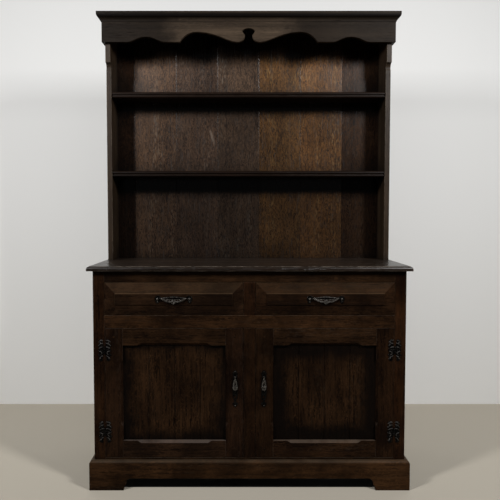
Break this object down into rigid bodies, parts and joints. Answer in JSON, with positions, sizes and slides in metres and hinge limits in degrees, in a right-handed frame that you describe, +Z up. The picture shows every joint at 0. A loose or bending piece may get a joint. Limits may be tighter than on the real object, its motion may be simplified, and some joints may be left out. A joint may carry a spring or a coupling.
{
  "type": "welsh dresser",
  "caption": "Dark oak welsh dresser: an open plate rack with a shaped frieze stands on a base with drawers over panelled cupboard doors, with iron bail and drop pulls.",
  "frame": {"origin": "bottom centre of the whole object's box, on the floor", "axes": "+Z up, the front faces -Y, +X to the right seen from the front"},
  "size_m": [1.241, 0.414, 1.87],
  "materials": {
    "base_oak": "very dark brown stained oak, waxed, satin",
    "rack_oak": "dark grey-brown stained oak, waxed, satin",
    "board_oak": "stained oak boards with open grain, satin",
    "inside_oak": "plain oak inside, matt",
    "iron": "blackened antique iron, worn at the edges"
  },
  "bodies": {
    "carcass": {"worktop": "base_oak", "end_left": "base_oak", "end_right": "base_oak", "stile_left": "base_oak", "stile_right": "base_oak", "top_rail": "base_oak", "drawer_rail": "base_oak", "drawer_muntin": "base_oak", "centre_stile": "base_oak", "cupboard_bottom": "base_oak", "plinth": "base_oak", "base_back": "inside_oak", "cupboard_shelf": "inside_oak", "drawer_runner_frame": "inside_oak", "rack_side_left": "rack_oak", "rack_side_right": "rack_oak", "upper_shelf": "rack_oak", "lower_shelf": "rack_oak", "rack_top": "rack_oak", "frieze": "rack_oak", "frieze_return_left": "rack_oak", "frieze_return_right": "rack_oak", "cornice": "rack_oak", "rack_back": "board_oak", "hinge_left_upper_frame_leaf": "iron", "hinge_left_lower_frame_leaf": "iron", "hinge_right_upper_frame_leaf": "iron", "hinge_right_lower_frame_leaf": "iron"},
    "door_left": {"door_left_hinge_stile": "base_oak", "door_left_meeting_stile": "base_oak", "door_left_top_rail": "base_oak", "door_left_bottom_rail": "base_oak", "door_left_panel": "base_oak", "door_left_pull_plate": "iron", "hinge_left_upper_door_leaf": "iron", "hinge_left_lower_door_leaf": "iron"},
    "drawer_left": {"drawer_left_front": "base_oak", "drawer_left_side_left": "inside_oak", "drawer_left_side_right": "inside_oak", "drawer_left_back": "inside_oak", "drawer_left_bottom": "inside_oak", "drawer_left_pull_plate": "iron"},
    "drawer_left_bail_swing": {"drawer_left_bail": "iron"},
    "door_left_drop_swing": {"door_left_drop": "iron"},
    "door_right": {"door_right_hinge_stile": "base_oak", "door_right_meeting_stile": "base_oak", "door_right_top_rail": "base_oak", "door_right_bottom_rail": "base_oak", "door_right_panel": "base_oak", "door_right_pull_plate": "iron", "hinge_right_upper_door_leaf": "iron", "hinge_right_lower_door_leaf": "iron"},
    "drawer_right": {"drawer_right_front": "base_oak", "drawer_right_side_left": "inside_oak", "drawer_right_side_right": "inside_oak", "drawer_right_back": "inside_oak", "drawer_right_bottom": "inside_oak", "drawer_right_pull_plate": "iron"},
    "drawer_right_bail_swing": {"drawer_right_bail": "iron"},
    "door_right_drop_swing": {"door_right_drop": "iron"}
  },
  "joints": [
    {"name": "door_left_hinge", "type": "hinge", "parent": "carcass", "child": "door_left", "pos_m": [-0.548, -0.1862, 0.37625], "axis": [0, 0, -1], "range_deg": [0, 165]},
    {"name": "drawer_left_slide", "type": "slide", "parent": "carcass", "child": "drawer_left", "axis": [0, -1, 0], "range_m": [0, 0.28]},
    {"name": "drawer_left_bail_pivot", "type": "hinge", "parent": "drawer_left", "child": "drawer_left_bail_swing", "pos_m": [-0.285, -0.203, 0.732], "axis": [-1, 0, 0], "range_deg": [0, 85]},
    {"name": "door_left_drop_pivot", "type": "hinge", "parent": "door_left", "child": "door_left_drop_swing", "pos_m": [-0.0545, -0.191, 0.432], "axis": [-1, 0, 0], "range_deg": [0, 85]},
    {"name": "door_right_hinge", "type": "hinge", "parent": "carcass", "child": "door_right", "pos_m": [0.548, -0.1862, 0.37625], "axis": [0, 0, 1], "range_deg": [0, 165]},
    {"name": "drawer_right_slide", "type": "slide", "parent": "carcass", "child": "drawer_right", "axis": [0, -1, 0], "range_m": [0, 0.28]},
    {"name": "drawer_right_bail_pivot", "type": "hinge", "parent": "drawer_right", "child": "drawer_right_bail_swing", "pos_m": [0.285, -0.203, 0.732], "axis": [-1, 0, 0], "range_deg": [0, 85]},
    {"name": "door_right_drop_pivot", "type": "hinge", "parent": "door_right", "child": "door_right_drop_swing", "pos_m": [0.0545, -0.191, 0.432], "axis": [-1, 0, 0], "range_deg": [0, 85]}
  ]
}
